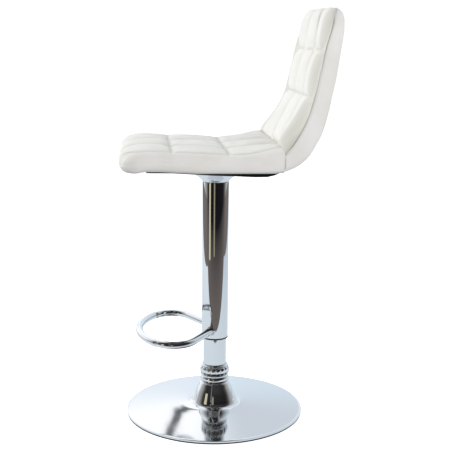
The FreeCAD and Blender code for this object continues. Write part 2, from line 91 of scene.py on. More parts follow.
def newMaterial(name):
    material = bpy.data.materials.new(name)
    material.use_nodes = True
    tree = material.node_tree
    tree.nodes.clear()
    return material, tree


def endMaterial(tree, shader):
    addNode(tree, "ShaderNodeOutputMaterial", links={"Surface": shader.outputs[0]})


# colour ramp node with stops given as {position: hex or grey value}
def addRamp(tree, factor, stops):
    ramp = addNode(tree, "ShaderNodeValToRGB", links={"Fac": factor})
    elements = ramp.color_ramp.elements
    while len(elements) < len(stops):
        elements.new(0.5)
    for element, (position, value) in zip(elements, sorted(stops.items())):
        element.position = position
        element.color = hexToLinear(value) if isinstance(value, str) else (value, value, value, 1.0)
    return ramp


leatherLook = {
    "colour": "#F3F2EE", "patchColour": "#ECEBE4", "paintedShadeColour": "#CFCDC2",
    "roughness": 0.43, "grainSize": 2.4 * mm, "grainHeight": 0.10 * mm, "foldHeight": 0.5 * mm,
}


# PU-coated fabric, embossed with a calf grain: a satin white skin, soft broad highlights,
# and a painted shade that darkens it along the seams and towards the back's sides.
# The real grain is 1 mm; it is drawn at 2.4 mm to show.
def makeWhitePuLeather():
    look = leatherLook
    material, tree = newMaterial("whitePuLeather")
    place = addNode(tree, "ShaderNodeTexCoord").outputs["Object"]
    pebbles = addNode(tree, "ShaderNodeTexVoronoi",
                      {"feature": "SMOOTH_F1", "Scale": 1 / look["grainSize"], "Smoothness": 0.6,
                       "Randomness": 0.9}, {"Vector": place})
    creases = addNode(tree, "ShaderNodeTexNoise",
                      {"Scale": 1 / (9 * mm), "Detail": 4.0, "Roughness": 0.6, "Distortion": 0.6},
                      {"Vector": place})
    patches = addNode(tree, "ShaderNodeTexNoise",
                      {"Scale": 1 / (60 * mm), "Detail": 2.0}, {"Vector": place})
    patchMask = addRamp(tree, patches.outputs["Fac"], {0.35: 0.0, 0.7: 1.0})
    skin = addNode(tree, "ShaderNodeMix",
                   {"data_type": "RGBA", 6: hexToLinear(look["colour"]),
                    7: hexToLinear(look["patchColour"])}, {0: patchMask.outputs[0]})
    # painted shade: the seamShade attribute mixes the skin towards a darker grey-green along seams and
    # on the back's sides
    seamShade = addNode(tree, "ShaderNodeAttribute", {"attribute_name": "seamShade"})
    shadeAmount = addNode(tree, "ShaderNodeMath", {"operation": "MULTIPLY", 1: 0.75},
                          {0: seamShade.outputs["Fac"]})
    colour = addNode(tree, "ShaderNodeMix", {"data_type": "RGBA", 7: hexToLinear(look["paintedShadeColour"])},
                     {0: shadeAmount.outputs[0], 6: skin.outputs[2]})
    rough = addNode(tree, "ShaderNodeMapRange",
                    {"To Min": look["roughness"] - 0.05, "To Max": look["roughness"] + 0.08},
                    {"Value": pebbles.outputs["Distance"]})
    fine = addNode(tree, "ShaderNodeBump", {"Strength": 0.5, "Distance": look["grainHeight"]},
                   {"Height": pebbles.outputs["Distance"]})
    bump = addNode(tree, "ShaderNodeBump", {"Strength": 0.35, "Distance": look["foldHeight"]},
                   {"Height": creases.outputs["Fac"], "Normal": fine.outputs[0]})
    shader = addNode(tree, "ShaderNodeBsdfPrincipled",
                     {"IOR": 1.5, "Sheen Weight": 0.06, "Sheen Roughness": 0.5, "Coat Weight": 0.08,
                      "Coat Roughness": 0.35},
                     {"Base Color": colour.outputs[2], "Roughness": rough.outputs[0],
                      "Normal": bump.outputs[0]})
    endMaterial(tree, shader)
    return material


chromeLook = {
    "colour": "#DFE1E4", "roughness": 0.035, "smudge": 0.05, "smudgeSize": 45 * mm,
    "ripple": 0.02 * mm, "rippleSize": 30 * mm,
}
# the spun base is polished less finely, so what it mirrors is softer
spunChromeLook = {**chromeLook, "roughness": 0.075, "smudge": 0.04}


# Steel, polished and chrome plated: a mirror with the faintest ripple and a few dull finger marks
def makePolishedChrome(name, look):
    material, tree = newMaterial(name)
    place = addNode(tree, "ShaderNodeTexCoord").outputs["Object"]
    smudges = addNode(tree, "ShaderNodeTexNoise",
                      {"Scale": 1 / look["smudgeSize"], "Detail": 5.0, "Roughness": 0.65},
                      {"Vector": place})
    dull = addRamp(tree, smudges.outputs["Fac"], {0.5: 0.0, 0.8: 1.0})
    rough = addNode(tree, "ShaderNodeMapRange",
                    {"To Min": look["roughness"], "To Max": look["roughness"] + look["smudge"]},
                    {"Value": dull.outputs[0]})
    ripple = addNode(tree, "ShaderNodeTexNoise", {"Scale": 1 / look["rippleSize"], "Detail": 1.0},
                     {"Vector": place})
    bump = addNode(tree, "ShaderNodeBump", {"Strength": 0.25, "Distance": look["ripple"]},
                   {"Height": ripple.outputs["Fac"]})
    shader = addNode(tree, "ShaderNodeBsdfPrincipled",
                     {"Base Color": hexToLinear(look["colour"]), "Metallic": 1.0},
                     {"Roughness": rough.outputs[0], "Normal": bump.outputs[0]})
    endMaterial(tree, shader)
    return material


# what the plainer finishes differ in: grain is the size of the surface's texture in metres
plainFinishes = {
    # moulded rubber: matt black, faint mould texture
    "mouldedRubber": {"colours": ("#0B0B0C", "#171718"), "roughness": 0.75, "metallic": 0.0,
                      "grain": 1.5 * mm, "height": 0.05 * mm},
    # glass-filled nylon: satin black, spark-eroded texture
    "blackNylon": {"colours": ("#0D0D0E", "#1A1A1B"), "roughness": 0.45, "metallic": 0.0,
                   "grain": 0.8 * mm, "height": 0.04 * mm},
    # zinc-plated steel: pale grey with bluish and yellowish patches
    "zincPlatedSteel": {"colours": ("#A9ADB0", "#BDB9A8"), "roughness": 0.32, "metallic": 1.0,
                        "grain": 6 * mm, "height": 0.01 * mm},
    # powder-coated steel: black with an orange-peel skin
    "powderCoatedSteel": {"colours": ("#101011", "#1C1C1D"), "roughness": 0.5, "metallic": 0.0,
                          "grain": 1.2 * mm, "height": 0.05 * mm},
    # ground bearing steel: bright grey
    "groundSteel": {"colours": ("#8E9195", "#A3A5A8"), "roughness": 0.2, "metallic": 1.0,
                    "grain": 3 * mm, "height": 0.005 * mm},
    # turned aluminium: pale, slightly warm
    "turnedAluminium": {"colours": ("#B9BABB", "#C9CACB"), "roughness": 0.3, "metallic": 1.0,
                        "grain": 2 * mm, "height": 0.01 * mm},
    # black-stained fibreboard: dull black with short fibres
    "stainedFibreboard": {"colours": ("#070707", "#131312"), "roughness": 0.85, "metallic": 0.0,
                          "grain": 2.5 * mm, "height": 0.15 * mm},
    # birch plywood: pale brown, long soft grain
    "birchPlywood": {"colours": ("#B98F5F", "#CDA878"), "roughness": 0.6, "metallic": 0.0,
                     "grain": 7 * mm, "height": 0.1 * mm},
}


def makePlainFinish(name):
    look = plainFinishes[name]
    material, tree = newMaterial(name)
    place = addNode(tree, "ShaderNodeTexCoord").outputs["Object"]
    grain = addNode(tree, "ShaderNodeTexNoise",
                    {"Scale": 1 / look["grain"], "Detail": 3.0, "Roughness": 0.55}, {"Vector": place})
    darker, lighter = look["colours"]
    colour = addRamp(tree, grain.outputs["Fac"], {0.35: darker, 0.65: lighter})
    rough = addNode(tree, "ShaderNodeMapRange",
                    {"To Min": look["roughness"] - 0.08, "To Max": look["roughness"] + 0.08},
                    {"Value": grain.outputs["Fac"]})
    bump = addNode(tree, "ShaderNodeBump", {"Strength": 0.6, "Distance": look["height"]},
                   {"Height": grain.outputs["Fac"]})
    shader = addNode(tree, "ShaderNodeBsdfPrincipled", {"Metallic": look["metallic"]},
                     {"Base Color": colour.outputs[0], "Roughness": rough.outputs[0],
                      "Normal": bump.outputs[0]})
    endMaterial(tree, shader)
    return material


# bonded polyester thread, white: a slight lustre and a twist along each stitch
def makeWhiteThread():
    material, tree = newMaterial("whiteThread")
    place = addNode(tree, "ShaderNodeTexCoord").outputs["Object"]
    twist = addNode(tree, "ShaderNodeTexNoise", {"Scale": 1 / (0.8 * mm), "Detail": 2.0},
                    {"Vector": place})
    colour = addRamp(tree, twist.outputs["Fac"], {0.3: "#D9D7CE", 0.7: "#F1F0EB"})
    shader = addNode(tree, "ShaderNodeBsdfPrincipled", {"Roughness": 0.5, "Sheen Weight": 0.15},
                     {"Base Color": colour.outputs[0]})
    endMaterial(tree, shader)
    return material


whitePuLeather = makeWhitePuLeather()
polishedChrome = makePolishedChrome("polishedChrome", chromeLook)
spunChrome = makePolishedChrome("spunChrome", spunChromeLook)
whiteThread = makeWhiteThread()
finishes = {name: makePlainFinish(name) for name in plainFinishes}
slotFinish = {
    "polished_chrome": polishedChrome, "white_leather": whitePuLeather,
    "black_rubber": finishes["mouldedRubber"], "black_nylon": finishes["blackNylon"],
    "zinc_steel": finishes["zincPlatedSteel"], "black_steel": finishes["powderCoatedSteel"],
    "bearing_steel": finishes["groundSteel"], "aluminium": finishes["turnedAluminium"],
    "black_panel": finishes["stainedFibreboard"], "plywood": finishes["birchPlywood"],
}
for part in frame["record"]["subparts"]:
    meshData = frame["nodes"][part["node"]].data
    meshData.materials.clear()
    meshData.materials.append(slotFinish[part["material_slot"]])
print("materials made:", len(bpy.data.materials))


def bodyOf(node):
    return frame["nodes"][node]["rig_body"]


def addPiece(name, points, faces, material, node, sharp=40, body=None, hardness=0.0):
    mesh = bpy.data.meshes.new(name)
    mesh.from_pydata([tuple(p) for p in points], [], faces)
    work = bmesh.new()
    work.from_mesh(mesh)
    bmesh.ops.remove_doubles(work, verts=work.verts, dist=0.02 * mm)
    bmesh.ops.recalc_face_normals(work, faces=work.faces)
    hard = work.edges.layers.float.new("crease_edge")
    for edge in work.edges:
        bent = len(edge.link_faces) == 2 and edge.calc_face_angle(0) > math.radians(sharp)
        edge.smooth = not bent
        edge[hard] = hardness if bent else 0.0
    for face in work.faces:
        face.smooth = True
    work.to_mesh(mesh)
    work.free()
    mesh.materials.append(material)
    piece = bpy.data.objects.new(name, mesh)
    scene.collection.objects.link(piece)
    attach(piece, body or bodyOf(node))
    if node:
        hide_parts(node)
    return piece


# smooth curve through points, as a list, with a number of steps between each two
def curveThrough(points, steps):
    pts = [np.array(p, float) for p in points]
    pts = [2 * pts[0] - pts[1]] + pts + [2 * pts[-1] - pts[-2]]
    made = []
    for a, b, c, d in zip(pts, pts[1:], pts[2:], pts[3:]):
        for i in range(steps):
            t = i / steps
            made.append(0.5 * (2 * b + (c - a) * t + (2 * a - 5 * b + 4 * c - d) * t * t
                               + (3 * b - a - 3 * c + d) * t ** 3))
    made.append(pts[-2])
    return made


# closed outline with each corner cut and rounded by the given amount
def roundCorners(points, cut, steps=4):
    made = []
    count = len(points)
    for i in range(count):
        corner = np.array(points[i], float)
        before = np.array(points[i - 1], float) - corner
        after = np.array(points[(i + 1) % count], float) - corner
        size = min(cut, 0.45 * np.linalg.norm(before), 0.45 * np.linalg.norm(after))
        start = corner + before / np.linalg.norm(before) * size
        end = corner + after / np.linalg.norm(after) * size
        for k in range(steps + 1):
            t = k / steps
            made.append((1 - t) ** 2 * start + 2 * t * (1 - t) * corner + t * t * end)
    return made


# turned piece from a closed outline of (radius, height) in millimetres
def latheOutline(outline, around=144):
    points, faces = [], []
    count = len(outline)
    for i in range(around):
        angle = 2 * math.pi * i / around
        for radius, height in outline:
            points.append((radius * mm * math.cos(angle), radius * mm * math.sin(angle), height * mm))
    for i in range(around):
        here, there = i * count, (i + 1) % around * count
        for k in range(count):
            nextK = (k + 1) % count
            faces.append((here + k, there + k, there + nextK, here + nextK))
    return points, faces


# round bar along a path of points, closed on itself or with flat ends
def barAlong(path, radius, sides=24, closed=False):
    path = [Vector(p) for p in path]
    points, faces = [], []
    count = len(path)
    side = None
    for i, place in enumerate(path):
        ahead = path[(i + 1) % count] if closed or i + 1 < count else place
        behind = path[i - 1] if closed or i > 0 else place
        along = (ahead - behind).normalized()
        if side is None:
            side = along.orthogonal().normalized()
        side = (side - along * side.dot(along)).normalized()
        other = along.cross(side)
        thick = radius(i) if callable(radius) else radius
        for k in range(sides):
            angle = 2 * math.pi * k / sides
            points.append(place + (side * math.cos(angle) + other * math.sin(angle)) * thick)
    for i in range(count if closed else count - 1):
        here, there = i * sides, (i + 1) % count * sides
        for k in range(sides):
            nextK = (k + 1) % sides
            faces.append((here + k, here + nextK, there + nextK, there + k))
    if not closed:
        faces.append(tuple(range(sides))[::-1])
        faces.append(tuple(range((count - 1) * sides, count * sides)))
    return points, faces


def inMm(node):
    low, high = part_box(node)
    return low / mm, high / mm


trumpet = {
    # outside of the spun sheet, as radius and height in mm from the neck down to the rim
    "outside": [(29.5, 67.0), (31.8, 64.3), (34.6, 58.8), (40.2, 47.8), (45.6, 33.4), (48.4, 25.4),
                (53.0, 20.6), (62.0, 18.0), (82.0, 15.8), (110.0, 13.4), (150.0, 10.0), (192.5, 6.5)],
    "sheet": 1.5, "neckHole": 25.3, "rimLow": 3.1,
}


def makeTrumpetBase():
    outside = curveThrough(trumpet["outside"], 8)
    outside[0] = np.array(trumpet["outside"][0])
    inside = []
    for i, point in enumerate(outside):
        ahead = outside[min(i + 1, len(outside) - 1)]
        behind = outside[max(i - 1, 0)]
        along = (ahead - behind) / np.linalg.norm(ahead - behind)
        inside.append(point + np.array([along[1], -along[0]]) * trumpet["sheet"])
    rim = outside[-1][0]
    fold = [(rim - 0.5, 6.55), (rim, 6.1), (rim, 3.6), (rim - 0.35, trumpet["rimLow"]),
            (rim - 1.15, trumpet["rimLow"]), (rim - 1.5, 3.6)]
    neckTop = trumpet["outside"][0][1]
    lip = [(trumpet["neckHole"], neckTop - trumpet["sheet"]), (trumpet["neckHole"], neckTop)]
    outline = lip + [tuple(p) for p in outside[:-1]] + fold + [tuple(p) for p in inside[:-1]][::-1]
    points, faces = latheOutline(outline, around=256)
    return addPiece("trumpetBase", points, faces, spunChrome, "base_dish")


makeTrumpetBase()
print("trumpet base spun")

columnLook = {"edge": 0.5, "beads": 16, "beadRows": 28, "beadSteps": 24, "collarBore": 25.1,
              "postWall": 1.6, "tubeWall": 1.2, "bushBore": 25.05}


# the collar at the foot of the post: a stepped ring, a ring of beads and a thin edge ring
def makeCollar():
    low, high = inMm("collar_base_ring")
    bore = columnLook["collarBore"]
    step = [(bore, low.z), (30.3, low.z), (31.3, low.z + 2.2), (31.6, low.z + 5.8),
            (31.2, low.z + 9.6), (30.2, low.z + 12.4), (29.2, low.z + 13.4), (29.2, high.z),
            (bore, high.z)]
    points, faces = latheOutline(roundCorners(step, 1.2))
    addPiece("collarStepRing", points, faces, polishedChrome, "collar_base_ring")
    low, high = inMm("collar_bead_ring")
    middle, half = (low.z + high.z) / 2, (high.z - low.z) / 2
    points, faces = [], []
    rows, around = columnLook["beadRows"], columnLook["beads"] * columnLook["beadSteps"]
    for j in range(rows + 1):
        lift = -math.pi / 2 + math.pi * j / rows
        for i in range(around):
            angle = 2 * math.pi * i / around
            phase = (angle * columnLook["beads"] / (2 * math.pi)) % 1.0 - 0.5
            dome = math.sqrt(max(0.0, 1 - (2 * abs(phase)) ** 2.2))
            reach = 28.0 + (1.6 + 2.7 * dome) * math.cos(lift) ** 0.7
            height = middle + half * math.sin(lift)
            points.append((reach * mm * math.cos(angle), reach * mm * math.sin(angle), height * mm))
    for j in range(rows):
        for i in range(around):
            nextI = (i + 1) % around
            faces.append((j * around + i, j * around + nextI,
                          (j + 1) * around + nextI, (j + 1) * around + i))
    inner = []
    for height in (low.z, high.z):
        for i in range(around):
            angle = 2 * math.pi * i / around
            inner.append((bore * mm * math.cos(angle), bore * mm * math.sin(angle), height * mm))
    base = len(points)
    points += inner
    for i in range(around):
        nextI = (i + 1) % around
        faces.append((base + i, base + nextI, base + around + nextI, base + around + i))
        faces.append((base + i, base + nextI, nextI, i))
        faces.append((base + around + i, base + around + nextI,
                      rows * around + nextI, rows * around + i))
    addPiece("collarBeadRing", points, faces, polishedChrome, "collar_bead_ring")
    low, high = inMm("collar_top_ring")
    edge = [(bore, low.z), (28.6, low.z), (29.4, low.z + 1.2), (29.0, low.z + 3.0),
            (27.0, low.z + 4.4), (26.6, high.z), (bore, high.z)]
    points, faces = latheOutline(roundCorners(edge, 0.8))
    addPiece("collarEdgeRing", points, faces, polishedChrome, "collar_top_ring")


def makeTubes():
    for node, name in (("post", "fixedPost"), ("outer_tube", "slidingTube")):
        low, high = inMm(node)
        outer = high.x
        wall = columnLook["postWall" if node == "post" else "tubeWall"]
        section = [(outer - wall, low.z), (outer, low.z), (outer, high.z), (outer - wall, high.z)]
        points, faces = latheOutline(roundCorners(section, columnLook["edge"]), around=192)
        addPiece(name, points, faces, polishedChrome, node)
    low, high = inMm("tube_bush")
    bore = columnLook["bushBore"]
    section = [(bore, low.z), (high.x, low.z), (high.x, low.z + 3), (27.2, low.z + 3),
               (27.2, high.z), (bore, high.z)]
    points, faces = latheOutline(roundCorners(section, 0.4))
    addPiece("blackBush", points, faces, finishes["blackNylon"], "tube_bush")


topCup = {
    # the flare as radius and height in mm, and the slot that the release lever moves in
    "flare": [(28.6, 511.8), (30.6, 514.6), (36.4, 519.8), (42.0, 523.8), (50.0, 529.6), (58.0, 535.4),
              (65.0, 541.0), (69.0, 546.8)],
    "sheet": 1.0, "slotHalf": 5.5, "slotLow": 526.5, "slotX": (-75.0, -34.0),
}


# cuts a box from a piece and closes the cut
def cutBox(piece, low, high):
    corners = [(x, y, z) for x in (low[0], high[0]) for y in (low[1], high[1])
               for z in (low[2], high[2])]
    sides = [(0, 1, 3, 2), (4, 6, 7, 5), (0, 4, 5, 1), (2, 3, 7, 6), (0, 2, 6, 4), (1, 5, 7, 3)]
    mesh = bpy.data.meshes.new("cutter")
    mesh.from_pydata([(x * mm, y * mm, z * mm) for x, y, z in corners], [], sides)
    cutter = bpy.data.objects.new("cutter", mesh)
    scene.collection.objects.link(cutter)
    cut = piece.modifiers.new("cut", "BOOLEAN")
    cut.operation = "DIFFERENCE"
    cut.object = cutter
    graph = bpy.context.evaluated_depsgraph_get()
    made = bpy.data.meshes.new_from_object(piece.evaluated_get(graph))
    piece.modifiers.clear()
    piece.data = made
    bpy.data.objects.remove(cutter)


# flared cup between the tube and the seat
def makeTopCup():
    low, high = inMm("top_bell")
    flare = [tuple(p) for p in curveThrough(topCup["flare"], 6)]
    sheet = topCup["sheet"]
    inside = [(r - 0.7 * sheet, z + 0.7 * sheet) for r, z in flare]
    inside[-1] = (flare[-1][0] - 1.3 * sheet, flare[-1][1])
    outline = [(26.0, low.z), (27.2, low.z), (27.2, 511.2)] + flare + inside[::-1] + [(26.0, 511.4)]
    points, faces = latheOutline(outline, around=192)
    cup = addPiece("topCup", points, faces, polishedChrome, "top_bell")
    half = topCup["slotHalf"]
    cutBox(cup, (topCup["slotX"][0], -half, topCup["slotLow"]), (topCup["slotX"][1], half, high.z + 5))
    return cup


makeCollar()
makeTubes()
makeTopCup()
print("column turned")

footLoop = {
    "height": 188.0, "bar": 8.0, "frontRadius": 165.0, "frontCentre": 1.0, "sideRadius": 45.0,
    "side": (72.0, -92.0), "armAngle": 31.5, "armEnd": 24.5,
    "weld": 1.7, "weldCircle": 28.7, "weldSteps": 60, "weldSwell": 0.12,
}


def arcPoints(centre, radius, start, end, steps):
    made = []
    for i in range(steps + 1):
        angle = start + (end - start) * i / steps
        made.append((centre[0] + radius * math.cos(angle), centre[1] + radius * math.sin(angle)))
    return made


# the bent bar and the two welds that hold it to the tube
def makeFootLoop():
    loop = footLoop
    sideX, sideY = loop["side"]
    toward = math.atan2(sideY - loop["frontCentre"], sideX)
    leave = math.radians(90 - loop["armAngle"])
    slope = math.tan(math.radians(loop["armAngle"]))
    front = arcPoints((0, loop["frontCentre"]), loop["frontRadius"], -math.pi / 2, toward, 14)
    side = arcPoints((sideX, sideY), loop["sideRadius"], toward, leave, 30)
    lastX, lastY = side[-1]
    arm = []
    for i in range(1, 9):
        x = lastX + (loop["armEnd"] - lastX) * i / 8
        arm.append((x, lastY + (lastX - x) * slope))
    half = front + side[1:] + arm
    whole = [(-x, y) for x, y in half[::-1]] + half[1:]
    path = [(x * mm, y * mm, loop["height"] * mm) for x, y in whole]
    points, faces = barAlong(path, loop["bar"] * mm, sides=40)
    addPiece("footLoop", points, faces, polishedChrome, "footrest_ring")
    # each weld follows the line where the arm's surface meets the tube's, and swells nine times round
    armDirection = np.array([-math.cos(math.radians(loop["armAngle"])),
                             math.sin(math.radians(loop["armAngle"]))])
    across = np.array([-armDirection[1], armDirection[0]])
    turns = [2 * math.pi * k / loop["weldSteps"] for k in range(loop["weldSteps"])]
    bead = [loop["weld"] * mm * (1 + loop["weldSwell"] * math.sin(9 * turn)) for turn in turns]
    for sign, name in ((1, "footLoopWeldNear"), (-1, "footLoopWeldFar")):
        seam = []
        for turn in turns:
            start = np.array([lastX, lastY]) + across * loop["bar"] * math.cos(turn)
            b = start @ armDirection
            c = start @ start - loop["weldCircle"] ** 2
            spot = start + armDirection * (-b - math.sqrt(max(b * b - c, 0.0)))
            height = loop["height"] + loop["bar"] * math.sin(turn)
            seam.append((sign * spot[0] * mm, spot[1] * mm, height * mm))
        points, faces = barAlong(seam, lambda i: bead[i], sides=12, closed=True)
        addPiece(name, points, faces, polishedChrome, None, body="seat")


makeFootLoop()
print("footrest loop bent and welded")

# the padded shell, in mm: lines of (y, z) points from front to back and bottom to top, one in the
# middle of the seat and one along its edge, which each row of a padded face runs between
seatShape = {
    "top": [(-200, 566), (-199.3, 573), (-196.5, 580), (-190, 587), (-177, 592), (-155, 594.5),
            (-118, 594.5), (-60, 592), (-20, 590), (12, 589), (45, 590), (85, 593.5), (126, 597)],
    "topEdge": [(-200, 566), (-199.3, 567), (-196.5, 568.5), (-190, 570.5), (-177, 572.5), (-155, 574),
                (-118, 574.5), (-60, 574), (-20, 573.5), (12, 573.5), (45, 575), (85, 580),
                (118.5, 590)],
    "under": [(-200, 565), (-196.5, 559.5), (-189, 554.5), (-176, 552.5), (-164, 553), (-150, 555.5),
              (-120, 555.5), (-60, 555.2), (0, 555.2), (60, 555.2), (100, 555.4), (118.5, 556.5)],
    "underEdge": [(-200, 565), (-196.5, 563.5), (-189, 562.5), (-176, 562), (-164, 562.5),
                  (-150, 564.5), (-120, 564.5), (-60, 563), (0, 562), (60, 561.5), (100, 563),
                  (118.5, 565)],
    "halfWidth": 190.0, "cornerRadius": 38.0, "roll": 25.0, "underRoll": 15.0,
    "seamX": 54.0, "borderX": 165.0, "seamY": (-99.0, 12.5),
    "lipDrop": 3.2, "lipX": (167.5, 5.0), "lipY": (-120.0, 70.0), "wallBulge": 0.9, "wallSteps": 5,
    "puff": 5.0, "groove": 3.0, "grooveWidth": 7.5, "spacing": 4.0,
}
backShape = {
    "edge": [(118.5, 590), (126, 598), (142, 620), (159, 652), (169, 680), (179, 720), (187, 757),
             (195, 795), (201, 815), (207, 833), (210.7, 843), (214.5, 854), (218, 863), (221, 868)],
    "front": [(126, 597), (131, 608), (141.5, 628), (154, 652), (167, 682), (177, 712),
              (184.5, 748), (192.5, 780), (199.5, 808), (204.5, 832), (207.5, 848), (211.5, 860),
              (216.5, 868), (222, 871)],
    "rear": [(118.5, 555.6), (138.7, 563), (155.7, 574), (168.7, 587), (180.7, 607), (191.7, 628),
             (201.7, 659), (208.9, 693), (216.9, 731), (222.3, 763), (227.9, 801), (233.4, 837),
             (234.4, 851), (232.0, 863), (225, 870.5)],
    "rearEdge": [(118.5, 563), (118.5, 572), (118.5, 581), (118.5, 590), (134, 609), (152, 638),
                 (166, 672), (174, 700), (181, 731), (188, 763), (196.5, 800), (209, 838),
                 (213.5, 851), (217.5, 862), (221, 868)],
    "halfWidth": 190.0, "topHalfWidth": 177.0, "topZ": 870.0, "cornerRadius": 62.0, "roll": 62.0,
    "rearRoll": 11.0, "seamX": 54.0, "borderX": 162.0, "seamEnd": 168.0,
    # the last two entries of the next line place and weigh the painted shade on the back's sides
    "seamZ": (698.0, 790.0), "paintedSideShadeX": (108.0, 136.0), "paintedSideShade": 1.0,
    "puff": 9.0, "groove": 2.0, "grooveWidth": 7.5, "spacing": 4.0, "uprightTop": 587.0,
}
lineStep = 1.0 * mm      # distance between the points of a seam's line


def smoothly(value, start, end):
    t = min(1.0, max(0.0, (value - start) / (end - start)))
    return t * t * (3 - 2 * t)


# the crease sweeps up and forward towards the sides, like the inside of a bowl
creaseShape = {"from": 54.0, "full": 160.0, "forward": 13.0, "up": 7.0, "reach": 42.0,
               "seamHalf": 62.0}


def sweepCrease(grid, distance):
    x = np.abs(grid[:, :, 0])
    sideways = np.clip((x - creaseShape["from"]) / (creaseShape["full"] - creaseShape["from"]), 0, 1)
    sideways = sideways * sideways * (3 - 2 * sideways)
    edge = x.max()
    roundOff = np.clip((edge - x) / (edge - creaseShape["full"]), 0, 1) ** 0.5
    amount = sideways * roundOff * np.exp(-(distance[:, None] / creaseShape["reach"]) ** 2)
    swept = grid.copy()
    swept[:, :, 1] -= creaseShape["forward"] * amount
    swept[:, :, 2] += creaseShape["up"] * amount
    return swept


def seatHalfWidth(y):
    corner = seatShape["cornerRadius"]
    into = y - seatShape["top"][0][0]
    if into >= corner:
        return seatShape["halfWidth"]
    return seatShape["halfWidth"] - corner + math.sqrt(max(0.0, corner ** 2 - (corner - into) ** 2))


def backHalfWidth(z):
    shape = backShape
    taper = min(1.0, max(0.0, (z - 600) / (shape["topZ"] - 600)))
    width = shape["halfWidth"] + (shape["topHalfWidth"] - shape["halfWidth"]) * taper
    corner = shape["cornerRadius"]
    down = shape["topZ"] - z
    if down >= corner:
        return width
    return width - corner + math.sqrt(max(0.0, corner ** 2 - (corner - max(down, 0.0)) ** 2))


# rows of a line, evenly spaced along the face line
def spacedRows(face, edge, spacing):
    face, edge = np.array(curveThrough(face, 20)), np.array(curveThrough(edge, 20))
    run = np.concatenate([[0], np.cumsum(np.linalg.norm(np.diff(face, axis=0), axis=1))])
    count = max(8, int(round(run[-1] / spacing)))
    want = np.linspace(0, run[-1], count + 1)
    pick = [np.interp(want, run, line[:, k]) for line in (face, edge) for k in (0, 1)]
    return np.stack(pick[:2], 1), np.stack(pick[2:], 1), want


# grid of points (rows, columns, 3) in mm: flat across the middle, rolling over to the edge line
def paddedFace(face, edge, halfWidths, roll, spacing, rollSteps=8):
    flat = max(halfWidths) - roll
    columns = int(round(flat / spacing))
    across = [i / columns for i in range(-columns, columns + 1)]
    turns = [math.pi / 2 * (i + 1) / rollSteps for i in range(rollSteps)]
    grid = []
    for (fy, fz), (ey, ez), width in zip(face, edge, halfWidths):
        row = []
        for turn in turns[::-1]:
            row.append((-(width - roll) - roll * math.sin(turn), math.cos(turn)))
        row += [(a * (width - roll), 1.0) for a in across]
        for turn in turns:
            row.append(((width - roll) + roll * math.sin(turn), math.cos(turn)))
        grid.append([(x, ey + (fy - ey) * rise, ez + (fz - ez) * rise) for x, rise in row])
    return np.array(grid)


def gridNormals(grid):
    alongRows = np.gradient(grid, axis=0)
    alongColumns = np.gradient(grid, axis=1)
    normals = np.cross(alongColumns, alongRows)
    length = np.linalg.norm(normals, axis=2, keepdims=True)
    return normals / np.maximum(length, 1e-9)


# how far each grid point is from the nearest quilting seam, and how full its square is;
# run is how far each row is along the piece
def quilt(grid, run, seamX, seamRuns, borderX):
    x = np.abs(grid[:, :, 0])
    y = np.repeat(run[:, None], grid.shape[1], axis=1)
    columns = np.minimum(np.abs(x - seamX), np.abs(x - borderX) + 4.0)
    rows = np.min([np.abs(y - s) for s in seamRuns], axis=0)
    outside = x > borderX
    rows = np.where(outside, rows + (x - borderX) * 1.2, rows)
    near = np.minimum(columns, rows)
    edges = [0.0] + list(seamRuns) + [run[-1]]
    fullY = np.zeros_like(y)
    for a, b in zip(edges, edges[1:]):
        inside = (y >= a) & (y <= b)
        fullY = np.where(inside, np.sin(np.pi * np.clip((y - a) / (b - a), 0, 1)), fullY)
    fullX = np.where(x < seamX, np.cos(np.pi / 2 * x / seamX),
                     np.sin(np.pi * np.clip((x - seamX) / (borderX - seamX), 0, 1)))
    full = np.sqrt(np.clip(fullX, 0, 1) * np.clip(fullY, 0, 1))
    return near, np.where(outside, 0.0, full)


def gridFaces(rows, columns, start=0):
    faces = []
    for j in range(rows - 1):
        for i in range(columns - 1):
            a = start + j * columns + i
            faces.append((a, a + 1, a + columns + 1, a + columns))
    return faces


clothLook = {
    "frames": 18, "pressure": 0.9, "stiffness": 18.0, "bending": 0.6, "slack": -0.003,
    "mass": 0.35, "cap": 4.0 * mm, "heldWithin": 2.6, "looseGrip": 0.12,
}


# each point's grip: held fast near a seam and round the rim, loose between
def gripOf(near):
    hold = np.where(near < clothLook["heldWithin"], 1.0, clothLook["looseGrip"])
    hold[0], hold[-1], hold[:, 0], hold[:, -1] = 1.0, 1.0, 1.0, 1.0
    return hold.reshape(-1)


